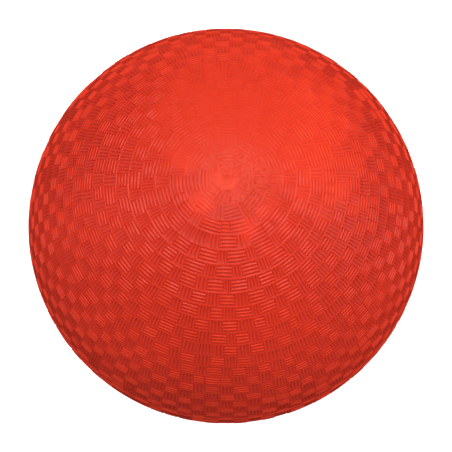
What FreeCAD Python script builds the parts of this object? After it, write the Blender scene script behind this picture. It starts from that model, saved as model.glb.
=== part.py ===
import FreeCAD, Part

import math
import os

from FreeCAD import Vector

# Playground rubber ball, 8.5 inch size. Millimetres.
# The origin is the centre of the ball. +Z is the mould axis, through the two smooth caps in the
# middle of the basket weave. +Y points out through the inflating valve, which sits on the
# mould's parting line. The weave's ribs and grooves are finish on the cover: the cover here is
# the smooth shell that the rib tops touch.

# Layers of the wall, from the outside in
BALL_RADIUS = 108.0
COVER_THICKNESS = 1.6
WINDING_THICKNESS = 0.4
BLADDER_THICKNESS = 0.9

# Reinforcing patch, bonded to the bladder's inner face around the valve
PATCH_RADIUS = 20.0
PATCH_THICKNESS = 0.8

# Valve housing: a neck through the wall, a flange bonded to the patch and a barrel inside
NECK_RADIUS = 3.6
NECK_SINK = 0.5
FLANGE_RADIUS = 12.0
FLANGE_THICKNESS = 1.2
BARREL_RADIUS = 6.5
BARREL_LENGTH = 17.0
BARREL_FLOOR = 2.0
AIR_HOLE_RADIUS = 1.2

# Self-sealing plug: a head in the neck and a fatter stem in the barrel, under a shoulder
PLUG_HEAD_RADIUS = 2.3
PLUG_STEM_RADIUS = 4.0
SHOULDER_DEPTH = 6.0

# Channel that guides a standard 2 mm inflating needle to the plug's slit
NEEDLE_RADIUS = 1.0
NEEDLE_CHANNEL_LENGTH = 8.0
FUNNEL_RADIUS = 1.7
FUNNEL_DEPTH = 0.7

MOUTH_CHAMFER = 0.4

VALVE_AXIS = Vector(0, 1, 0)
CENTRE = Vector(0, 0, 0)


def on_sphere(sphere_radius, distance):
    """The point of the +Y half of a sphere at a given distance from the valve's axis."""
    return Vector(distance, math.sqrt(sphere_radius ** 2 - distance ** 2), 0)


def arc_on_sphere(sphere_radius, first, last):
    """The arc of a sphere about the centre between two points of its section."""
    middle = (first + last).normalize() * sphere_radius
    return Part.Arc(first, middle, last).toShape()


def line(first, last):
    return Part.LineSegment(first, last).toShape()


def polyline(points):
    return [line(first, last) for first, last in zip(points, points[1:])]


def turned(edges):
    """The solid that a closed half section sweeps around the valve's axis."""
    section = Part.Face(Part.Wire(Part.__sortEdges__(edges)))
    solid = section.revolve(CENTRE, VALVE_AXIS, 360)
    if solid.Volume < 0:
        solid.reverse()
    return solid


def wall_layer(outer_radius, thickness, hole_radius, chamfer=0.0):
    """A whole spherical layer with one round hole for the valve's neck."""
    inner_radius = outer_radius - thickness
    outer_rim = on_sphere(outer_radius, hole_radius + chamfer)
    inner_rim = on_sphere(inner_radius, hole_radius)
    outer_equator = Vector(outer_radius, 0, 0)
    inner_equator = Vector(inner_radius, 0, 0)
    outer_foot = Vector(0, -outer_radius, 0)
    inner_foot = Vector(0, -inner_radius, 0)
    hole_wall = [outer_rim, inner_rim]
    if chamfer:
        hole_wall.insert(1, Vector(hole_radius, outer_rim.y - chamfer, 0))
    edges = [
        arc_on_sphere(outer_radius, outer_rim, outer_equator),
        arc_on_sphere(outer_radius, outer_equator, outer_foot),
        line(outer_foot, inner_foot),
        arc_on_sphere(inner_radius, inner_foot, inner_equator),
        arc_on_sphere(inner_radius, inner_equator, inner_rim),
    ]
    return turned(edges + polyline(hole_wall))


def make_patch(outer_radius):
    """A dished disc with a hole for the neck, lying against the bladder."""
    inner_radius = outer_radius - PATCH_THICKNESS
    outer_hole = on_sphere(outer_radius, NECK_RADIUS)
    outer_edge = on_sphere(outer_radius, PATCH_RADIUS)
    inner_hole = on_sphere(inner_radius, NECK_RADIUS)
    inner_edge = on_sphere(inner_radius, PATCH_RADIUS - PATCH_THICKNESS)
    return turned([
        arc_on_sphere(outer_radius, outer_hole, outer_edge),
        line(outer_edge, inner_edge),
        arc_on_sphere(inner_radius, inner_edge, inner_hole),
        line(inner_hole, outer_hole),
    ])


def valve_levels(flange_top_radius):
    """Heights along the valve's axis that the housing and the plug share."""
    top = BALL_RADIUS - NECK_SINK
    flange_foot = on_sphere(flange_top_radius - FLANGE_THICKNESS, BARREL_RADIUS).y
    barrel_foot = flange_foot - BARREL_LENGTH
    return {
        "top": top,
        "shoulder": top - SHOULDER_DEPTH,
        "barrel_foot": barrel_foot,
        "floor": barrel_foot + BARREL_FLOOR,
    }


def make_housing(flange_top_radius, levels):
    """Neck, dished flange and barrel in one moulding, hollow for the plug."""
    inner_radius = flange_top_radius - FLANGE_THICKNESS
    flange_neck = on_sphere(flange_top_radius, NECK_RADIUS)
    flange_edge = on_sphere(flange_top_radius, FLANGE_RADIUS)
    flange_under = on_sphere(inner_radius, FLANGE_RADIUS)
    flange_root = on_sphere(inner_radius, BARREL_RADIUS)
    outside = polyline([
        Vector(PLUG_HEAD_RADIUS, levels["top"], 0),
        Vector(NECK_RADIUS, levels["top"], 0),
        flange_neck,
    ])
    outside.append(arc_on_sphere(flange_top_radius, flange_neck, flange_edge))
    outside.append(line(flange_edge, flange_under))
    outside.append(arc_on_sphere(inner_radius, flange_under, flange_root))
    inside = polyline([
        flange_root,
        Vector(BARREL_RADIUS, levels["barrel_foot"], 0),
        Vector(AIR_HOLE_RADIUS, levels["barrel_foot"], 0),
        Vector(AIR_HOLE_RADIUS, levels["floor"], 0),
        Vector(PLUG_STEM_RADIUS, levels["floor"], 0),
        Vector(PLUG_STEM_RADIUS, levels["shoulder"], 0),
        Vector(PLUG_HEAD_RADIUS, levels["shoulder"], 0),
        Vector(PLUG_HEAD_RADIUS, levels["top"], 0),
    ])
    return turned(outside + inside)


def make_plug(levels):
    """The plug that fills the housing, with a funnel and a blind needle channel in its head."""
    top = levels["top"]
    channel_top = top - FUNNEL_DEPTH
    channel_foot = channel_top - NEEDLE_CHANNEL_LENGTH
    profile = [
        Vector(0, channel_foot, 0),
        Vector(NEEDLE_RADIUS, channel_foot, 0),
        Vector(NEEDLE_RADIUS, channel_top, 0),
        Vector(FUNNEL_RADIUS, top, 0),
        Vector(PLUG_HEAD_RADIUS, top, 0),
        Vector(PLUG_HEAD_RADIUS, levels["shoulder"], 0),
        Vector(PLUG_STEM_RADIUS, levels["shoulder"], 0),
        Vector(PLUG_STEM_RADIUS, levels["floor"], 0),
        Vector(0, levels["floor"], 0),
    ]
    return turned(polyline(profile + profile[:1]))


def make_parts():
    winding_radius = BALL_RADIUS - COVER_THICKNESS
    bladder_radius = winding_radius - WINDING_THICKNESS
    patch_radius = bladder_radius - BLADDER_THICKNESS
    flange_radius = patch_radius - PATCH_THICKNESS
    levels = valve_levels(flange_radius)
    return {
        "outer_cover": wall_layer(BALL_RADIUS, COVER_THICKNESS, NECK_RADIUS, MOUTH_CHAMFER),
        "nylon_winding": wall_layer(winding_radius, WINDING_THICKNESS, NECK_RADIUS),
        "bladder": wall_layer(bladder_radius, BLADDER_THICKNESS, NECK_RADIUS),
        "valve_patch": make_patch(patch_radius),
        "valve_housing": make_housing(flange_radius, levels),
        "valve_plug": make_plug(levels),
    }


def main():
    os.makedirs("parts", exist_ok=True)
    for node, shape in make_parts().items():
        if not shape.isValid():
            raise ValueError(node + " is not a valid solid")
        shape.exportStep("parts/" + node + ".step")
        print(node, "volume", round(shape.Volume / 1000, 2), "cm3")


main()
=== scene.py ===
import math
import random

import bmesh
import bpy
import numpy as np
from mathutils import Matrix, Vector


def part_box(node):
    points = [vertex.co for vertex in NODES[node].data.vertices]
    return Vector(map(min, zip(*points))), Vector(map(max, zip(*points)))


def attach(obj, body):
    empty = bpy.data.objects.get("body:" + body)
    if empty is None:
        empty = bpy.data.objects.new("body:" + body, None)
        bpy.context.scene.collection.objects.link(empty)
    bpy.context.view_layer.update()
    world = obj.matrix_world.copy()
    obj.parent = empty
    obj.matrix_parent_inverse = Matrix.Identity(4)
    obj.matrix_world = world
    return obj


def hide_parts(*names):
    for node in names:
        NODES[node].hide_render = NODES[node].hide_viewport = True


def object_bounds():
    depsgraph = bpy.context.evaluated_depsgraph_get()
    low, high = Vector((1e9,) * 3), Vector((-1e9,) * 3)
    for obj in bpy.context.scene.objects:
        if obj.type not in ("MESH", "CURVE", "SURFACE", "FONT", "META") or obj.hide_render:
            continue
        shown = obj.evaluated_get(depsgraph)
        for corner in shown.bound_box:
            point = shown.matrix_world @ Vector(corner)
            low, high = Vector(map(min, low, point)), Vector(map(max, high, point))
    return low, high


# Looks of the playground ball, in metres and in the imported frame: the origin is the ball's
# centre, +Z goes out through the middle of the weave and +Y out through the valve.
# Angles called polar are measured from +Z, or from -Z on the lower half.

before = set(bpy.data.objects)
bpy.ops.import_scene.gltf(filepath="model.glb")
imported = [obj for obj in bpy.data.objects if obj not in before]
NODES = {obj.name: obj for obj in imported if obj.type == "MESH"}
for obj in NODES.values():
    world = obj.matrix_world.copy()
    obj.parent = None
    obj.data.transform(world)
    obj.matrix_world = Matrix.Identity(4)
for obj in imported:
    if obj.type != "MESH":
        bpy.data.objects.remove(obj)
CAD_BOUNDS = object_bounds()

BALL_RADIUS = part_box("outer_cover")[1].x
WINDING_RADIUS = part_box("nylon_winding")[1].x

FULL_TURN = 2 * math.pi
EQUATOR = math.pi / 2

# The weave: rings of nearly square blocks of ribs, around two nearly smooth caps. The ring
# at the equator is cut by the parting line, so each half of the ball has half of it.
RELIEF_DEPTH = 0.00055
CAP_ANGLE = math.radians(3.75)
RINGS_TO_EQUATOR = 20.5
RING_PITCH = (EQUATOR - CAP_ANGLE) / RINGS_TO_EQUATOR
RING_COUNT = math.ceil(RINGS_TO_EQUATOR)
BLOCK_WIDTH = 0.00785
NARROWEST_BLOCK = 0.00670
FEWEST_BLOCK_PAIRS = 4
LYING_RIBS = 4
UPRIGHT_RIBS = (3, 5)
RIB_WIDTH = 0.00188

# Heights of the relief, as shares of its depth above the foot of a groove
UPRIGHT_RIB_HEIGHT = 0.60
UPRIGHT_RIB_DROP = 0.20
RIB_END_HEIGHT = 0.94
EDGE_HEIGHT = 0.12
FLASH_HEIGHT = 1.10
FLASH_FOOT_HEIGHT = 0.80

# The ridges between rings: where they are tallest, then the least height and the spread of
# the fall from there toward the cap and toward the equator
RIDGE_PEAK_ANGLE = math.radians(24)
RIDGE_PEAK_HEIGHT = 0.96
RIDGE_TOWARD_CAP = (0.22, math.radians(11))
RIDGE_TOWARD_EQUATOR = (0.50, math.radians(26))
RIDGE_FADING = 0.26

# Distances from a seam to its ridge's foot, from a block's side to its rib ends, and from
# the parting line to the foot of the flash
RIDGE_FOOT = 0.00045
RIB_END_INSET = 0.00022
FLASH_FOOT = 0.00022

# How finely the mesh is divided. Each grid is so many columns around and rows up. Corners
# nearer than the merge gap share one vertex.
STEPS_PER_RIB = 5
STEPS_PER_EDGE = 4
CAP_GRID = (72, 22)
INNER_GRID = (144, 30)
SEAM_SPACING = 0.0022
MERGE_GAP = 0.00045

# Edges that fold more than this are shaded as sharp
SHARP_WEAVE_FOLD = math.radians(55)
SHARP_PAD_FOLD = math.radians(60)

# Every random draw comes from this seed
WEAVE_SEED = 11

# The irregularities of the mould, as shares of a block's width
UNEVEN_SPACING = 0.05
BLOCK_SHIFT = 0.060
EDGE_SLANT = 0.03

# Blocks are most disordered beside the cap. Each pair has the value a few rings out and what
# full disorder adds to it: the share of flipped blocks, the lowest block height, the tilt.
DISORDERED_RINGS = 4
FLIPPED_SHARE = (0.04, 0.20)
LOWEST_BLOCK = (0.84, -0.45)
BLOCK_TILT = (0.018, 0.14)

# Near the cap, blocks of lying ribs are wider and their neighbours narrower. The narrowing
# ends at this ring, and fades over this many.
MOST_NARROWING = 0.11
NARROWING_ENDS_AT = 9
NARROWING_FADES_OVER = 4

# The two waves that a seam wanders by: how many of each go around the ball, and the ranges
# of their sizes and phases in radians
SEAM_WAVE_TURNS = ((3, 8), (11, 23))
SEAM_WAVE_SIZES = (0.0008, 0.0018)
SEAM_WAVE_PHASES = (0, 6.3)

# Each cap's height, its faint ripple, and the scraps of ribbing on it: how many, how tall,
# how far from the middle and how large
CAP_HEIGHT = 0.66
CAP_RIPPLE = 0.07
CAP_SCRAPS = 9
CAP_SCRAP_HEIGHT = 0.40
CAP_SCRAP_REACH = 0.0060
CAP_SCRAP_SIZES = (0.0016, 0.0026)

# Where use has worn the relief down: direction, angular spread and share of its depth lost
WORN_PATCHES = (((-0.050, 0.310, 0.949), math.radians(14), 0.66),
                ((0.350, 0.297, 0.888), math.radians(23), 0.45),
                ((0.0, 0.850, 0.527), math.radians(22), 0.25),
                ((0.02, -0.02, 1.0), math.radians(6), 0.25),
                ((0.0, 0.0, -1.0), math.radians(8), 0.50))

# Small scuffs placed by chance: how many, between which z of their directions, and the
# ranges of their spread in degrees and of their loss
SCUFFS = ((7, (0.965, 1.0), (3, 5), (0.20, 0.50)),
          (7, (-1.0, -0.965), (3, 5), (0.20, 0.50)),
          (12, (-0.9, 0.9), (4, 9), (0.10, 0.32)))

# Wear ends at this many times a patch's spread from its middle
WEAR_REACH = 1.8

# The smooth pad around the valve, and the mouth in its middle that shows the plug
PAD_RADIUS = 0.0092
PAD_SEGMENTS = 96
PAD_STEPS = 40
MOUTH_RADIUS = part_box("valve_patch")[1].x * 0.18

# The pad's face over the groove feet. Its rim and its lip each have a distance from the
# valve's axis, a half width and a height. Its edges are rounded by an inset and a drop.
PAD_LEVEL = 0.00012
PAD_RIM = (PAD_RADIUS - 0.0010, 0.00055, 0.00028)
PAD_LIP = (MOUTH_RADIUS + 0.0009, 0.00050, 0.00030)
PAD_EDGE_INSET = 0.0002
PAD_EDGE_DROP = 0.00022

# Colours of the cover
BODY_RED = (0.69, 0.0265, 0.0026)
DEEP_RED = (0.64, 0.022, 0.0030)
# Painted shade: the colour down in the grooves
GROOVE_SHADE_RED = (0.335, 0.0070, 0.0004)
# Partly wear, partly a painted highlight: the paler colour of rib tops, used for pale specks too
RUBBED_AND_HIGHLIGHT_RED = (0.75, 0.052, 0.012)
POLISHED_RED = (0.54, 0.019, 0.0015)
# Partly scuffs, partly a painted sheen: the paler colour of some blocks' rib tops and of the patch
# beside the upper cap
SCUFFED_AND_SHEEN_RED = (0.62, 0.048, 0.018)

# Where the cover is polished deeper or scuffed paler, the pale patch beside the upper cap being
# partly a painted sheen: direction, reach, share, colour, and how much of that share is left in
# the gaps between its flecks
COLOUR_PATCHES = (((-0.02, 0.335, 0.941), 0.060, 1.0, POLISHED_RED, 0.90),
                  ((0.075, 0.00, 0.99), 0.028, 0.45, SCUFFED_AND_SHEEN_RED, 0.10),
                  ((-0.03, 0.08, -0.99), 0.040, 0.50, SCUFFED_AND_SHEEN_RED, 0.15))

# The lumpy place beside the cap, which roughens the shading only
LUMPY_PLACE = (0.085, -0.01, 0.99)
LUMPY_REACH = 0.032
LUMP_BUMP = 2.6
GRAIN_BUMP = 0.0625
COVER_BUMP_DEPTH = 0.0002

# The studio. The ball is seen from near its cap, through a long lens. The sky is brightest
# behind the ball, and dips at the zenith and below. Lights have a direction, a distance,
# a disk's width and a power.
VIEW_ELEVATION = math.radians(76.2)
VIEW_DISTANCE = 4.0
BALL_SHARE_OF_FRAME = 0.875
SKY_STRENGTH = 0.985
SKY_SLOPE = 0.20
SKY_SLOPE_DIRECTION = (0.04, 0.97, 0.22)
SKY_ZENITH_DIP = 0.22
FLOOR_GLOW = 0.90
FLOOR_REACH = 11.0
FLOOR_SEGMENTS = 64
WALL_HEIGHT = 8.0
SOFTBOXES = (("key", (0.00, 0.13, 0.991), 2.6, 1.3, 39.0),
             ("right", (0.90, 0.00, 0.36), 2.6, 0.9, 17.0),
             ("left", (-0.90, 0.00, 0.36), 2.6, 0.9, 8.5))


# ---------------------------------------------------------------- mesh building

class Sheet:
    """Vertices and faces of one half of the ball, collected before they become a mesh."""

    def __init__(self, side):
        """The side is 1 for the upper half and -1 for the lower half."""
        self.side = side
        self.vertices = []
        self.faces = []

    def add(self, polar, azimuth, height):
        """Adds a point of the weave. Height 0 is a groove's foot and 1 a rib's top."""
        flat = math.sin(polar)
        strength = relief_strength((flat * math.cos(azimuth), flat * math.sin(azimuth),
                                    self.side * math.cos(polar)))
        radius = BALL_RADIUS - RELIEF_DEPTH * (1.0 - height) * strength
        return self.add_at(polar, azimuth, radius)

    def add_at(self, polar, azimuth, radius):
        """Adds a point at a distance from the ball's centre."""
        flat = radius * math.sin(polar)
        self.vertices.append((flat * math.cos(azimuth), flat * math.sin(azimuth),
                              self.side * radius * math.cos(polar)))
        return len(self.vertices) - 1

    def face(self, *corners):
        """Adds a face, with its corners anticlockwise as seen from outside the upper half."""
        self.faces.append(corners if self.side > 0 else corners[::-1])

    def grid(self, columns):
        """Adds quads between columns of vertices, each column running down from the cap."""
        for left, right in zip(columns, columns[1:]):
            for row in range(len(left) - 1):
                self.face(left[row], left[row + 1], right[row + 1], right[row])

    def zip(self, outer, inner):
        """Adds triangles between two chains, with the inner one on the outer one's right."""
        reach_outer = chain_fractions([self.vertices[v] for v in outer])
        reach_inner = chain_fractions([self.vertices[v] for v in inner])
        i = j = 0
        while i < len(outer) - 1 or j < len(inner) - 1:
            outer_next = reach_outer[i + 1] if i < len(outer) - 1 else math.inf
            inner_next = reach_inner[j + 1] if j < len(inner) - 1 else math.inf
            if outer_next <= inner_next:
                self.face(outer[i], inner[j], outer[i + 1])
                i += 1
            else:
                self.face(outer[i], inner[j], inner[j + 1])
                j += 1


def wear_patches():
    """The worn patches and the scuffs, each with the cosine of the angle it reaches to."""
    rng = random.Random(WEAVE_SEED + 1)
    patches = [(Vector(middle).normalized(), spread, loss) for middle, spread, loss in WORN_PATCHES]
    for how_many, heights, spreads, losses in SCUFFS:
        for _ in range(how_many):
            z, turn = rng.uniform(*heights), rng.uniform(0, FULL_TURN)
            flat = math.sqrt(1 - z * z)
            middle = Vector((flat * math.cos(turn), flat * math.sin(turn), z))
            patches.append((middle, math.radians(rng.uniform(*spreads)), rng.uniform(*losses)))
    return [(*middle, spread, loss, math.cos(WEAR_REACH * spread))
            for middle, spread, loss in patches]


WEAR = wear_patches()


def relief_strength(direction):
    """How deep the relief is in a direction from the centre, as a share of its full depth.

    The mould is a little uneven in slow waves, and the outlines of worn patches are ragged.
    """
    x, y, z = direction
    wave = math.sin(3.1 * x + 1.7 * y) * math.cos(2.3 * z - 1.9 * x) + math.sin(4.3 * y * z + 0.6)
    strength = 0.95 + 0.04 * wave
    for at_x, at_y, at_z, spread, loss, reach in WEAR:
        facing = x * at_x + y * at_y + z * at_z
        if facing < reach:
            continue
        away = math.acos(min(1.0, facing))
        ragged = 1.0 + 0.18 * math.sin(9 * x + 3) * math.sin(11 * y - 1)
        ragged += 0.22 * math.sin(31 * x + 5 * y) * math.sin(27 * y - 9 * x + 1)
        strength *= 1.0 - loss * math.exp(-((away / spread * ragged) ** 4))
    return strength


def chain_fractions(points):
    """How far along a chain of points each of them lies, from 0 to 1."""
    steps = np.linalg.norm(np.diff(np.array(points), axis=0), axis=1)
    return np.concatenate(([0.0], np.cumsum(steps) / steps.sum()))


# ---------------------------------------------------------------- laying out the weave

class Ring:
    """One ring of blocks: where its edges are, which way its ribs run, how tall they are."""

    def __init__(self, edges, pattern, narrowing, disorder, rng):
        self.edges = edges
        self.pattern = pattern
        self.count = len(edges)
        width = FULL_TURN / self.count
        shifts = [narrowing * width * (1 if upright else -1) for upright in pattern]
        jitter = [rng.gauss(0, BLOCK_SHIFT * width) for _ in edges]
        self.top = [e + s + j + rng.gauss(0, EDGE_SLANT * width)
                    for e, s, j in zip(edges, shifts, jitter)]
        self.bottom = [e + s + j + rng.gauss(0, EDGE_SLANT * width)
                       for e, s, j in zip(edges, shifts, jitter)]
        flipped, lowest, tilt = (plain + added * disorder
                                 for plain, added in (FLIPPED_SHARE, LOWEST_BLOCK, BLOCK_TILT))
        self.upright = [upright != (rng.random() < flipped) for upright in pattern]
        self.heights = [rng.uniform(lowest, 1.0) for _ in edges]
        self.tilts = [rng.gauss(0, tilt) for _ in edges]


def length_around(polar):
    """The length of the circle around the ball at a polar angle."""
    return FULL_TURN * BALL_RADIUS * math.sin(polar)


def block_count(polar):
    """An even number of blocks for a ring, so that the two rib directions alternate."""
    return 2 * max(FEWEST_BLOCK_PAIRS, round(length_around(polar) / BLOCK_WIDTH / 2))


def ring_edges(count, start, rng):
    return [start + FULL_TURN * (i + rng.gauss(0, UNEVEN_SPACING)) / count for i in range(count)]


def equator_ring():
    """The ring that both halves share across the parting line."""
    rng = random.Random(WEAVE_SEED)
    count = block_count(EQUATOR)
    return Ring(ring_edges(count, 0.0, rng), [bool(i % 2) for i in range(count)], 0.0, 0.0, rng)


def ring_inside(ring, index, rng):
    """The next ring toward the cap, with the other rib direction in every block.

    It has as many blocks as the last ring until they would get too narrow.
    """
    polar = CAP_ANGLE + RING_PITCH * (index + 0.5)
    nearness = (NARROWING_ENDS_AT - index) / NARROWING_FADES_OVER
    narrowing = MOST_NARROWING * min(1.0, max(0.0, nearness))
    disorder = max(0.0, 1.0 - index / DISORDERED_RINGS)
    if length_around(polar) / ring.count > NARROWEST_BLOCK:
        pattern = [not upright for upright in ring.pattern]
        return Ring(ring.edges, pattern, narrowing, disorder, rng)
    count = block_count(polar)
    edges = ring_edges(count, rng.uniform(0, FULL_TURN), rng)
    return Ring(edges, [bool(i % 2) for i in range(count)], narrowing, disorder, rng)


def ridge_height(polar):
    """Ridges stand out most a little way from the cap, and fade toward the parting line."""
    least, spread = RIDGE_TOWARD_CAP if polar < RIDGE_PEAK_ANGLE else RIDGE_TOWARD_EQUATOR
    away = (polar - RIDGE_PEAK_ANGLE) / spread
    return least + (RIDGE_PEAK_HEIGHT - least) * math.exp(-away * away)


def grouped_corners(above, below, merge):
    """The block corners in order around a seam, in groups of those that share a vertex."""
    corners = [(azimuth % FULL_TURN, "above", i) for i, azimuth in enumerate(above)]
    corners += [(azimuth % FULL_TURN, "below", i) for i, azimuth in enumerate(below)]
    corners.sort()
    groups = [[corners[0]]]
    for corner in corners[1:]:
        last = groups[-1][-1]
        if corner[0] - last[0] < merge and corner[1] != last[1]:
            groups[-1].append(corner)
        else:
            groups.append([corner])
    return groups


class Seam:
    """The ridge between two rings, with one shared vertex wherever a block has a corner."""

    def __init__(self, sheet, polar, waves, above, below, height, fading):
        self.polar = polar
        self.waves = waves
        self.corner = {}
        self.chain = []
        radius = BALL_RADIUS * math.sin(polar)
        groups = grouped_corners(above, below, MERGE_GAP / radius)
        azimuths = [sum(corner[0] for corner in group) / len(group) for group in groups]
        for group, here, following in zip(groups, azimuths, azimuths[1:] + azimuths[:1]):
            for _, side, i in group:
                self.corner[side, i] = len(self.chain)
            gap = (following - here) % FULL_TURN
            steps = max(1, round(gap / (SEAM_SPACING / radius)))
            for step in range(steps):
                azimuth = here + gap * step / steps
                faded = height * (1.0 - fading * self.ripple(azimuth))
                self.chain.append(sheet.add(self.polar_at(azimuth), azimuth, faded))

    def ripple(self, azimuth):
        """Rises and falls slowly along the seam, from 0 to 2, and differently on each seam."""
        return 1.0 + (math.sin(5 * azimuth + 70 * self.polar)
                      * math.cos(2 * azimuth - 31 * self.polar))

    def polar_at(self, azimuth):
        """The seam's polar angle, which wanders a little around the ball."""
        wander = sum(size * math.sin(turns * azimuth + phase) for size, turns, phase in self.waves)
        return self.polar + wander

    def between(self, side, first, last):
        """The shared vertices from one block corner to the next, in order."""
        start = self.corner[side, first]
        end = self.corner[side, last]
        if end <= start:
            return self.chain[start:] + self.chain[:end + 1]
        return self.chain[start:end + 1]


def seam_waves(rng):
    """The size, turns and phase of each wave that a seam wanders by."""
    return [(rng.uniform(*SEAM_WAVE_SIZES), rng.randint(*turns), rng.uniform(*SEAM_WAVE_PHASES))
            for turns in SEAM_WAVE_TURNS]


def across_ribs_of_lying(length, closed_end):
    """Fractions and heights across ribs that run around the ball, between two ridges.

    The first crest is the ridge itself. Cubing the wave makes the crests narrow. An open end
    stops at the parting line, beside the foot of the flash.
    """
    ribs = LYING_RIBS if closed_end else LYING_RIBS / 2
    last = 1.0 if closed_end else 1.0 - 2 * FLASH_FOOT / length
    stations = []
    for step in range(1, math.ceil(last * ribs * STEPS_PER_RIB)):
        height = abs(math.cos(math.pi * step / STEPS_PER_RIB)) ** 3
        stations.append((step / (ribs * STEPS_PER_RIB), height))
    if not closed_end:
        stations.append((1.0 - FLASH_FOOT / length, FLASH_FOOT_HEIGHT))
    return stations


def across_ribs_of_upright(length, polar):
    """Fractions and heights across ribs that run toward the cap, lower away from it."""
    fewest, most = UPRIGHT_RIBS
    ribs = max(fewest, min(most, round(length / RIB_WIDTH)))
    count = ribs * STEPS_PER_RIB
    tallest = UPRIGHT_RIB_HEIGHT - UPRIGHT_RIB_DROP * math.sin(polar) ** 2
    return [(step / count, tallest * math.sin(math.pi * step / STEPS_PER_RIB) ** 2)
            for step in range(1, count)]


def along_ribs(length, inset, closed_end):
    """Fractions and heights along a rib, whose ends are lower unless it meets the flash."""
    start = inset / length
    if closed_end:
        return [(start, RIB_END_HEIGHT), (0.5, 1.0), (1.0 - start, RIB_END_HEIGHT)]
    return [(start, RIB_END_HEIGHT), (0.6, 1.0), (1.0 - FLASH_FOOT / length, 1.0)]


def add_block(sheet, ring, index, top_seam, bottom_seam, at_equator):
    """Adds the grid of rib crests and grooves of one block, and returns its columns."""
    following = (index + 1) % ring.count
    top_left, top_right = ring.top[index], ring.top[following]
    bottom_left, bottom_right = ring.bottom[index], ring.bottom[following]
    if following == 0:
        top_right += FULL_TURN
        bottom_right += FULL_TURN
    top_width, bottom_width = top_right - top_left, bottom_right - bottom_left
    upright, level, tilt = ring.upright[index], ring.heights[index], ring.tilts[index]
    middle = (top_seam.polar + bottom_seam.polar) / 2
    tall = (bottom_seam.polar - top_seam.polar) * BALL_RADIUS
    mean_width = (top_width + bottom_right - bottom_left) / 2
    wide = mean_width * BALL_RADIUS * math.sin(middle)
    closed = not at_equator
    if upright:
        across = across_ribs_of_upright(wide, middle)
        down = along_ribs(tall, RIDGE_FOOT, closed)
    else:
        across = along_ribs(wide, RIB_END_INSET, True)
        down = across_ribs_of_lying(tall, closed)
    mean_bulge = (1.0 / math.cos(top_width / 2) - 1.0) / 3
    columns = []
    for s, s_height in across:
        column = []
        for t, t_height in down:
            u, v = s, t
            if upright:
                u += tilt * (t - 0.5) * math.sin(math.pi * s)
            elif closed:
                v += tilt * (s - 0.5) * math.sin(math.pi * t)
            top = top_left + top_width * u
            bottom = bottom_left + bottom_width * u
            azimuth = top + (bottom - top) * v
            polar = top_seam.polar_at(azimuth) * (1 - v) + bottom_seam.polar_at(azimuth) * v
            if not upright:
                # Lying ribs run straight across their block and not along the ring's curve
                bulge = 1.0 / math.cos((u - 0.5) * top_width) - 1.0
                polar += (bulge - mean_bulge) * middle * math.sin(math.pi * v)
            column.append(sheet.add(polar, azimuth, s_height * t_height * level))
        columns.append(column)
    sheet.grid(columns)
    return columns


def radial_edges(sheet, ring, top_seam, bottom_seam):
    """The shallow line between each block and the one before it in the ring."""
    chains = []
    for i in range(ring.count):
        top = top_seam.chain[top_seam.corner["below", i]]
        bottom = bottom_seam.chain[bottom_seam.corner["above", i]]
        chain = [top]
        for step in range(1, STEPS_PER_EDGE):
            part = step / STEPS_PER_EDGE
            azimuth = ring.top[i] + (ring.bottom[i] - ring.top[i]) * part
            polar = top_seam.polar_at(azimuth) * (1 - part) + bottom_seam.polar_at(azimuth) * part
            chain.append(sheet.add(polar, azimuth, EDGE_HEIGHT))
        chains.append(chain + [bottom])
    return chains


def add_ring(sheet, ring, top_seam, bottom_seam, at_equator):
    """Adds a ring's blocks, and closes the strips between them and the edges around them."""
    edges = radial_edges(sheet, ring, top_seam, bottom_seam)
    for i in range(ring.count):
        j = (i + 1) % ring.count
        columns = add_block(sheet, ring, i, top_seam, bottom_seam, at_equator)
        top_row = [column[0] for column in columns]
        bottom_row = [column[-1] for column in columns]
        sheet.zip(top_seam.between("below", i, j), top_row)
        sheet.zip(edges[j], columns[-1])
        sheet.zip(bottom_seam.between("above", i, j)[::-1], bottom_row[::-1])
        sheet.zip(edges[i][::-1], columns[0][::-1])


def cap_height(x, y, scraps):
    """Height of a cap: a faint ripple and scraps of ribbing, each running its own way."""
    height = CAP_HEIGHT + CAP_RIPPLE * math.sin(900 * x + 2.0 * math.sin(700 * y))
    for at_x, at_y, turn, size in scraps:
        along = (x - at_x) * math.cos(turn) + (y - at_y) * math.sin(turn)
        beside = -(x - at_x) * math.sin(turn) + (y - at_y) * math.cos(turn)
        falloff = math.exp(-((along / size) ** 4) - (beside / size) ** 4)
        height += CAP_SCRAP_HEIGHT * falloff * math.cos(FULL_TURN * beside / RIB_WIDTH)
    return height


def cap_scraps(rng):
    """The place, direction and size of each scrap of ribbing on a cap."""
    scraps = []
    for _ in range(CAP_SCRAPS):
        away = rng.uniform(0.0, CAP_SCRAP_REACH)
        turn = rng.uniform(0, FULL_TURN)
        scraps.append((away * math.cos(turn), away * math.sin(turn),
                       rng.uniform(0, math.pi), rng.uniform(*CAP_SCRAP_SIZES)))
    return scraps


def add_cap(sheet, seam, seed):
    """Adds the nearly smooth disc in the middle of the weave, zipped to the first seam."""
    scraps = cap_scraps(random.Random(seed))
    columns, rows = CAP_GRID
    rim = CAP_ANGLE - RIDGE_FOOT / BALL_RADIUS
    rings = []
    for row in range(rows):
        polar = rim * (1 - row / rows)
        ring = []
        for column in range(columns):
            azimuth = FULL_TURN * column / columns
            x = BALL_RADIUS * polar * math.cos(azimuth)
            y = BALL_RADIUS * polar * math.sin(azimuth)
            ring.append(sheet.add(polar, azimuth, cap_height(x, y, scraps)))
        rings.append(ring)
    loop = closed_loop_from(sheet, seam.chain, rings[0][0])
    sheet.zip(loop[::-1], (rings[0] + rings[0][:1])[::-1])
    for outer, inner in zip(rings, rings[1:]):
        for k in range(columns):
            n = (k + 1) % columns
            sheet.face(outer[k], outer[n], inner[n], inner[k])
    pole = sheet.add(0.0, 0.0, cap_height(0.0, 0.0, scraps))
    for k in range(columns):
        sheet.face(rings[-1][k], rings[-1][(k + 1) % columns], pole)


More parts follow.
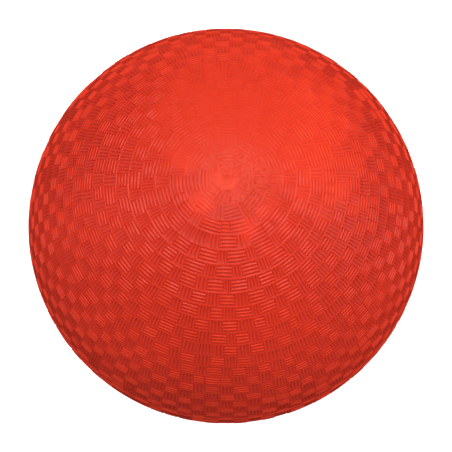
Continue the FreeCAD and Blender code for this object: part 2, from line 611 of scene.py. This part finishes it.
def closed_loop_from(sheet, chain, vertex):
    """A loop's vertices from the one nearest to a given vertex, all the way round to it."""
    place = sheet.vertices[vertex]
    start = min(range(len(chain)), key=lambda k: math.dist(sheet.vertices[chain[k]], place))
    return chain[start:] + chain[:start + 1]


def add_inside(sheet, equator):
    """Adds the smooth inner face of the cover, and the face where the two halves meet."""
    columns, rows = INNER_GRID
    rings = []
    for row in range(rows):
        polar = EQUATOR * (1 - row / rows)
        rings.append([sheet.add_at(polar, FULL_TURN * k / columns, WINDING_RADIUS)
                      for k in range(columns)])
    for outer, inner in zip(rings, rings[1:]):
        for k in range(columns):
            n = (k + 1) % columns
            sheet.face(outer[k], inner[k], inner[n], outer[n])
    pole = sheet.add_at(0.0, 0.0, WINDING_RADIUS)
    for k in range(columns):
        sheet.face(rings[-1][k], pole, rings[-1][(k + 1) % columns])
    sheet.zip(closed_loop_from(sheet, equator, rings[0][0]), rings[0] + rings[0][:1])


def weave_half(side):
    """One half of the cover, from its cap to the parting line, with its own random draws."""
    sheet = Sheet(side)
    half_seed = WEAVE_SEED * 1000 + (0 if side > 0 else 500)
    rng = random.Random(half_seed)
    rings = [equator_ring()]
    for index in range(RING_COUNT - 2, -1, -1):
        rings.insert(0, ring_inside(rings[0], index, rng))
    seams = []
    for i in range(RING_COUNT):
        polar = CAP_ANGLE + RING_PITCH * i
        above = rings[i - 1].bottom if i else []
        waves = seam_waves(rng) if i else []
        seams.append(Seam(sheet, polar, waves, above, rings[i].top, ridge_height(polar),
                          RIDGE_FADING))
    seams.append(Seam(sheet, EQUATOR, [], rings[-1].bottom, [], FLASH_HEIGHT, 0.0))
    for i, ring in enumerate(rings):
        add_ring(sheet, ring, seams[i], seams[i + 1], i == RING_COUNT - 1)
    add_cap(sheet, seams[0], half_seed + 77)
    add_inside(sheet, seams[-1].chain)
    return sheet


def to_object(name, vertices, faces):
    """A smooth-shaded object in the scene, from plain lists of vertices and faces."""
    mesh = bpy.data.meshes.new(name)
    mesh.from_pydata(vertices, [], faces)
    mesh.polygons.foreach_set("use_smooth", [True] * len(mesh.polygons))
    piece = bpy.data.objects.new(name, mesh)
    bpy.context.scene.collection.objects.link(piece)
    return piece


def mark_sharp_edges(piece, sharp_fold):
    """Keeps flat cuts and rims crisp under smooth shading, by the angle between faces."""
    bm = bmesh.new()
    bm.from_mesh(piece.data)
    for edge in bm.edges:
        edge.smooth = edge.calc_face_angle(0.0) <= sharp_fold
    bm.to_mesh(piece.data)
    bm.free()


# ---------------------------------------------------------------- the valve pad

def turned_about_valve(name, profile, segments):
    """The closed solid that a closed profile of (distance, height) sweeps around +Y."""
    vertices, faces = [], []
    size = len(profile)
    for k in range(segments):
        turn = FULL_TURN * k / segments
        for away, height in profile:
            vertices.append((away * math.cos(turn), height, away * math.sin(turn)))
        here, following = k * size, (k + 1) % segments * size
        for i in range(size):
            j = (i + 1) % size
            faces.append((here + i, following + i, following + j, here + j))
    return to_object(name, vertices, faces)


def cut_valve_seat(piece):
    """Cuts the round seat of the valve pad out of a half of the cover."""
    low, high = WINDING_RADIUS * 0.9, BALL_RADIUS * 1.1
    along_valve = Matrix.Rotation(math.pi / 2, 4, "X")
    middle = Matrix.Translation((0.0, (low + high) / 2, 0.0))
    bm = bmesh.new()
    bmesh.ops.create_cone(bm, cap_ends=True, segments=PAD_SEGMENTS, radius1=PAD_RADIUS,
                          radius2=PAD_RADIUS, depth=high - low, matrix=middle @ along_valve)
    cutter = to_object("seat_cutter", [], [])
    bm.to_mesh(cutter.data)
    bm.free()
    cut = piece.modifiers.new("valve_seat", "BOOLEAN")
    cut.operation, cut.solver, cut.object = "DIFFERENCE", "EXACT", cutter
    depsgraph = bpy.context.evaluated_depsgraph_get()
    mesh = bpy.data.meshes.new_from_object(piece.evaluated_get(depsgraph))
    piece.modifiers.clear()
    piece.data = mesh
    bpy.data.objects.remove(cutter)


def pad_relief(away):
    """Height of the pad's face over the groove feet, at a distance from the valve's axis."""
    height = PAD_LEVEL
    for middle, width, rise in (PAD_RIM, PAD_LIP):
        height += rise * math.exp(-((away - middle) / width) ** 2)
    return height


def height_on_sphere(radius, away):
    """How far up the valve's axis a sphere is, at a distance from that axis."""
    return math.sqrt(radius ** 2 - away ** 2)


def make_pad():
    """The smooth round pad moulded around the valve, with a rim and a lip at its mouth."""
    first, last = MOUTH_RADIUS + PAD_EDGE_INSET, PAD_RADIUS - PAD_EDGE_INSET
    profile = []
    for step in range(PAD_STEPS + 1):
        away = first + (last - first) * step / PAD_STEPS
        height = height_on_sphere(BALL_RADIUS - RELIEF_DEPTH, away) + pad_relief(away)
        profile.append((away, height))
    mouth_top = profile[0][1] - PAD_EDGE_DROP
    edge_top = profile[-1][1] - PAD_EDGE_DROP
    profile += [(PAD_RADIUS, edge_top),
                (PAD_RADIUS, height_on_sphere(WINDING_RADIUS, PAD_RADIUS)),
                (MOUTH_RADIUS, height_on_sphere(WINDING_RADIUS, MOUTH_RADIUS)),
                (MOUTH_RADIUS, mouth_top)]
    pad = turned_about_valve("valve_pad", profile, PAD_SEGMENTS)
    mark_sharp_edges(pad, SHARP_PAD_FOLD)
    return pad


# ---------------------------------------------------------------- materials

class Shader:
    """A material's node tree, with short calls for the nodes used here."""

    def __init__(self, name):
        self.material = bpy.data.materials.new(name)
        self.material.use_nodes = True
        self.tree = self.material.node_tree
        self.surface = self.tree.nodes["Principled BSDF"]

    def node(self, kind, settings=None, **inputs):
        """A new node, with an underscore for each space in the names of its inputs."""
        made = self.tree.nodes.new(kind)
        for key, value in (settings or {}).items():
            setattr(made, key, value)
        for key, value in inputs.items():
            self.plug(made, key.replace("_", " "), value)
        return made

    def plug(self, node, name, value):
        """Links another node's output to an input, or sets the input to a constant."""
        socket = node.inputs[name]
        if isinstance(value, bpy.types.NodeSocket):
            self.tree.links.new(value, socket)
        else:
            socket.default_value = value

    def math(self, operation, first, second):
        made = self.node("ShaderNodeMath", {"operation": operation})
        self.plug(made, 0, first)
        self.plug(made, 1, second)
        return made.outputs[0]

    def remap(self, value, low, high, to_low=0.0, to_high=1.0, smooth=False):
        """The value carried from one range to another, and held at the ends."""
        kind = {"interpolation_type": "SMOOTHSTEP" if smooth else "LINEAR"}
        made = self.node("ShaderNodeMapRange", kind, Value=value, From_Min=low, From_Max=high,
                         To_Min=to_low, To_Max=to_high)
        return made.outputs["Result"]

    def noise(self, size, detail=2.0, roughness=0.5):
        """Noise whose features are about the given size across, in metres."""
        made = self.node("ShaderNodeTexNoise", Vector=self.place(), Scale=1.0 / size,
                         Detail=detail, Roughness=roughness)
        return made.outputs["Fac"]

    def nearness(self, direction, reach):
        """1 around the place where a direction leaves the ball, falling to 0 at the reach."""
        away = self.node("ShaderNodeVectorMath", {"operation": "DISTANCE"})
        self.plug(away, 0, self.place())
        self.plug(away, 1, Vector(direction).normalized() * BALL_RADIUS)
        return self.remap(away.outputs["Value"], reach * 0.35, reach, 1.0, 0.0, smooth=True)

    def place(self):
        return self.node("ShaderNodeTexCoord").outputs["Object"]

    def blend(self, factor, first, second):
        """A mix of two colours, each a tuple or another node's output."""
        made = self.node("ShaderNodeMix", {"data_type": "RGBA"})
        self.plug(made, 0, factor)
        for socket, colour in ((6, first), (7, second)):
            self.plug(made, socket, (*colour, 1.0) if isinstance(colour, tuple) else colour)
        return made.outputs[2]

    def bump(self, height, strength, distance):
        made = self.node("ShaderNodeBump", Height=height, Strength=strength, Distance=distance)
        self.plug(self.surface, "Normal", made.outputs["Normal"])

    def finish(self, colour, roughness, **constants):
        self.plug(self.surface, "Base Color", colour)
        self.plug(self.surface, "Roughness", roughness)
        for name, value in constants.items():
            self.surface.inputs[name.replace("_", " ")].default_value = value
        return self.material


def cover_rubber():
    """Red rubber: painted shade in the grooves; rib tops paler from wear and a painted highlight.
    """
    shader = Shader("cover_rubber")
    depth = shader.node("ShaderNodeVectorMath", {"operation": "LENGTH"})
    shader.plug(depth, 0, shader.place())
    height = shader.remap(depth.outputs["Value"], BALL_RADIUS - RELIEF_DEPTH, BALL_RADIUS)
    crest = shader.remap(height, 0.60, 0.88, smooth=True)
    # Painted shade: the colour darkens from the rib tops down to the feet of the grooves, so the
    # lower upright ribs are painted darker too
    colour = shader.blend(shader.remap(height, 0.0, 0.80), GROOVE_SHADE_RED, BODY_RED)

    # Broad, faint clouds in the pigment
    clouds = shader.remap(shader.noise(0.060, 3.0), 0.35, 0.65, smooth=True)
    colour = shader.blend(shader.math("MULTIPLY", clouds, 0.22), colour, DEEP_RED)

    # Rib tops painted paler, partly worn by rubbing and partly a painted highlight on the crests,
    # twice as much in some places
    rubbed_and_highlight = shader.remap(shader.noise(0.016, 4.0, 0.6), 0.48, 0.68, smooth=True)
    rubbed_and_highlight = shader.math("MULTIPLY", shader.math("ADD", rubbed_and_highlight, 1.0), crest)
    colour = shader.blend(shader.math("MULTIPLY", rubbed_and_highlight, 0.35), colour, RUBBED_AND_HIGHLIGHT_RED)

    # Pale specks, and a painted sheen: the rib tops of some blocks here and there painted paler, as
    # if they shone
    specks = shader.remap(shader.noise(0.0012, 2.0, 0.7), 0.60, 0.74, 0.0, 0.10)
    colour = shader.blend(specks, colour, RUBBED_AND_HIGHLIGHT_RED)
    painted_sheen = shader.remap(shader.noise(0.0085, 1.0), 0.62, 0.72, 0.0, 0.55, smooth=True)
    colour = shader.blend(shader.math("MULTIPLY", painted_sheen, crest), colour, SCUFFED_AND_SHEEN_RED)

    flecks = shader.noise(0.0024, 4.0, 0.65)
    # Polished and scuffed patches; the pale one beside the upper cap is partly a painted sheen
    for direction, reach, amount, tone, gaps in COLOUR_PATCHES:
        cover = shader.remap(flecks, 0.44, 0.56, gaps * amount, amount, smooth=True)
        patch = shader.math("MULTIPLY", shader.nearness(direction, reach), cover)
        colour = shader.blend(patch, colour, tone)

    grain = shader.math("MULTIPLY", shader.noise(0.0007, 3.0, 0.6), GRAIN_BUMP)
    lumps = shader.math("MULTIPLY", flecks, shader.nearness(LUMPY_PLACE, LUMPY_REACH))
    lumps = shader.math("MULTIPLY", lumps, LUMP_BUMP)
    shader.bump(shader.math("ADD", grain, lumps), 1.0, COVER_BUMP_DEPTH)
    roughness = shader.remap(shader.noise(0.010, 3.0), 0.3, 0.7, 0.43, 0.51)
    return shader.finish(colour, roughness, IOR=1.33)


def winding_thread():
    """Cream nylon thread wound in crossing bands."""
    shader = Shader("winding_thread")
    place = shader.place()
    strands = None
    for turn in ((0.3, 0.2, 0.1), (1.2, -0.6, 0.5), (-0.8, 1.1, 0.9)):
        spin = shader.node("ShaderNodeMapping", {"vector_type": "POINT"}, Vector=place)
        spin.inputs["Rotation"].default_value = turn
        wave = shader.node("ShaderNodeTexWave", {"wave_type": "BANDS"},
                           Vector=spin.outputs["Vector"], Scale=520.0, Distortion=1.2,
                           Detail=2.0)
        fac = wave.outputs["Fac"]
        strands = fac if strands is None else shader.math("MAXIMUM", strands, fac)
    colour = shader.blend(strands, (0.30, 0.26, 0.19), (0.80, 0.76, 0.64))
    shader.bump(strands, 0.6, 0.0002)
    return shader.finish(colour, shader.remap(strands, 0.0, 1.0, 0.9, 0.6))


def dusted_rubber(name, base, dust, amount, roughness, specular):
    """Dark rubber with a patchy film of the talc used when it is made."""
    shader = Shader(name)
    film = shader.remap(shader.noise(0.004, 4.0, 0.6), 0.42, 0.72, 0.0, amount, smooth=True)
    specks = shader.remap(shader.noise(0.0006, 2.0, 0.6), 0.60, 0.75, 0.0, amount * 0.8)
    colour = shader.blend(film, base, dust)
    colour = shader.blend(specks, colour, dust)
    rough = shader.remap(shader.noise(0.002, 3.0), 0.3, 0.7, roughness, roughness + 0.15)
    shader.bump(shader.noise(0.0004, 3.0), 0.3, 0.00006)
    return shader.finish(colour, rough, Specular_IOR_Level=specular)


def patch_fabric():
    """Rubberised reinforcing cloth: a fine square weave under dark rubber."""
    shader = Shader("patch_rubber")
    place = shader.place()
    weave = None
    for direction in ("X", "Z"):
        wave = shader.node("ShaderNodeTexWave", {"wave_type": "BANDS",
                                                 "bands_direction": direction},
                           Vector=place, Scale=330.0, Distortion=0.3)
        fac = wave.outputs["Fac"]
        weave = fac if weave is None else shader.math("MULTIPLY", weave, fac)
    colour = shader.blend(weave, (0.030, 0.030, 0.032), (0.12, 0.12, 0.125))
    shader.bump(weave, 0.5, 0.0001)
    return shader.finish(colour, shader.remap(weave, 0.0, 1.0, 0.85, 0.7))


def floor_paper():
    """White studio paper, hardly mottled, that glows enough to stay white everywhere."""
    shader = Shader("studio_floor")
    tone = shader.remap(shader.noise(0.9), 0.3, 0.7)
    colour = shader.blend(tone, (0.80, 0.80, 0.80), (0.83, 0.83, 0.83))
    return shader.finish(colour, 0.9, Specular_IOR_Level=0.1,
                         Emission_Color=(1.0, 1.0, 1.0, 1.0), Emission_Strength=FLOOR_GLOW)


def coat(piece, material):
    piece.data.materials.clear()
    piece.data.materials.append(material)


def coat_cad_node(name, material):
    for material_slot in NODES[name].material_slots:
        material_slot.material = material


# ---------------------------------------------------------------- camera, floor and light

def make_camera():
    """A long lens, looking down on the cap from the elevation that the ball was seen at."""
    data = bpy.data.cameras.new("camera")
    camera = bpy.data.objects.new("camera", data)
    toward = Vector((0.0, -math.cos(VIEW_ELEVATION), math.sin(VIEW_ELEVATION)))
    camera.location = toward * VIEW_DISTANCE
    camera.rotation_euler = toward.to_track_quat("Z", "Y").to_euler()
    outline = math.tan(math.asin(BALL_RADIUS / VIEW_DISTANCE))
    data.angle = 2 * math.atan(outline / BALL_SHARE_OF_FRAME)
    data.clip_end = 100.0
    bpy.context.scene.collection.objects.link(camera)
    bpy.context.scene.camera = camera


def make_floor():
    """A plain round floor, and a wall around it that closes off the horizon in low views."""
    ground = CAD_BOUNDS[0].z
    turns = [FULL_TURN * k / FLOOR_SEGMENTS for k in range(FLOOR_SEGMENTS)]
    rim = [(FLOOR_REACH * math.cos(turn), FLOOR_REACH * math.sin(turn), ground) for turn in turns]
    top = [(x, y, ground + WALL_HEIGHT) for x, y, _ in rim]
    floor = to_object("floor", rim, [tuple(range(FLOOR_SEGMENTS))])
    wall_faces = []
    for k in range(FLOOR_SEGMENTS):
        following = (k + 1) % FLOOR_SEGMENTS
        wall_faces.append((k, k + FLOOR_SEGMENTS, following + FLOOR_SEGMENTS, following))
    wall = to_object("wall", rim + top, wall_faces)
    paper = floor_paper()
    for surface in (floor, wall):
        coat(surface, paper)
        surface.visible_diffuse = False
        surface.visible_glossy = False
    wall.visible_shadow = False


def add_softbox(name, direction, distance, width, power):
    data = bpy.data.lights.new(name, "AREA")
    data.shape, data.size, data.energy = "DISK", width, power
    light = bpy.data.objects.new(name, data)
    toward = Vector(direction).normalized()
    light.location = toward * distance
    light.rotation_euler = toward.to_track_quat("Z", "Y").to_euler()
    bpy.context.scene.collection.objects.link(light)


def make_sky():
    """A soft white sky, with its slope and its dip worked out from the direction.

    Its strength is SKY_STRENGTH, plus SKY_SLOPE times how far the direction goes along the
    slope's own, less SKY_ZENITH_DIP times the square of the direction's z.
    """
    world = bpy.data.worlds.new("studio")
    world.use_nodes = True
    tree = world.node_tree
    direction = tree.nodes.new("ShaderNodeTexCoord").outputs["Generated"]
    along = tree.nodes.new("ShaderNodeVectorMath")
    along.operation = "DOT_PRODUCT"
    along.inputs[1].default_value = SKY_SLOPE_DIRECTION
    slope = tree.nodes.new("ShaderNodeMath")
    slope.operation = "MULTIPLY_ADD"
    slope.inputs[1].default_value = SKY_SLOPE
    slope.inputs[2].default_value = SKY_STRENGTH
    squares = tree.nodes.new("ShaderNodeVectorMath")
    squares.operation = "MULTIPLY"
    dip = tree.nodes.new("ShaderNodeVectorMath")
    dip.operation = "DOT_PRODUCT"
    dip.inputs[1].default_value = (0.0, 0.0, -SKY_ZENITH_DIP)
    total = tree.nodes.new("ShaderNodeMath")
    background = tree.nodes["Background"]
    background.inputs["Color"].default_value = (1.0, 1.0, 1.0, 1.0)
    for output, socket in ((direction, along.inputs[0]),
                           (along.outputs["Value"], slope.inputs[0]),
                           (direction, squares.inputs[0]),
                           (direction, squares.inputs[1]),
                           (squares.outputs["Vector"], dip.inputs[0]),
                           (slope.outputs["Value"], total.inputs[0]),
                           (dip.outputs["Value"], total.inputs[1]),
                           (total.outputs["Value"], background.inputs["Strength"])):
        tree.links.new(output, socket)
    world.cycles_visibility.glossy = False
    bpy.context.scene.world = world


def make_light():
    make_sky()
    for name, direction, distance, width, power in SOFTBOXES:
        add_softbox(name, direction, distance, width, power)
    bpy.context.scene.view_settings.view_transform = "Standard"


# ---------------------------------------------------------------- the ball

def add_to_ball(piece, material):
    """Coats a piece that stands for the CAD cover, and hands it to the frame."""
    coat(piece, material)
    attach(piece, "root")
    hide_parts("outer_cover")


def make_ball():
    rubber = cover_rubber()
    for name, side in (("cover_upper", 1), ("cover_lower", -1)):
        sheet = weave_half(side)
        half = to_object(name, sheet.vertices, sheet.faces)
        cut_valve_seat(half)
        mark_sharp_edges(half, SHARP_WEAVE_FOLD)
        add_to_ball(half, rubber)
    add_to_ball(make_pad(), rubber)
    coat_cad_node("nylon_winding", winding_thread())
    coat_cad_node("bladder", dusted_rubber("bladder_rubber", (0.012, 0.012, 0.013),
                                           (0.45, 0.44, 0.42), 0.22, 0.62, 0.35))
    coat_cad_node("valve_patch", patch_fabric())
    coat_cad_node("valve_housing", dusted_rubber("housing_rubber", (0.016, 0.016, 0.017),
                                                 (0.35, 0.30, 0.28), 0.10, 0.48, 0.45))
    coat_cad_node("valve_plug", dusted_rubber("plug_rubber", (0.030, 0.028, 0.027),
                                              (0.35, 0.30, 0.28), 0.14, 0.60, 0.40))


make_camera()
make_floor()
make_light()
make_ball()

bpy.context.view_layer.update()
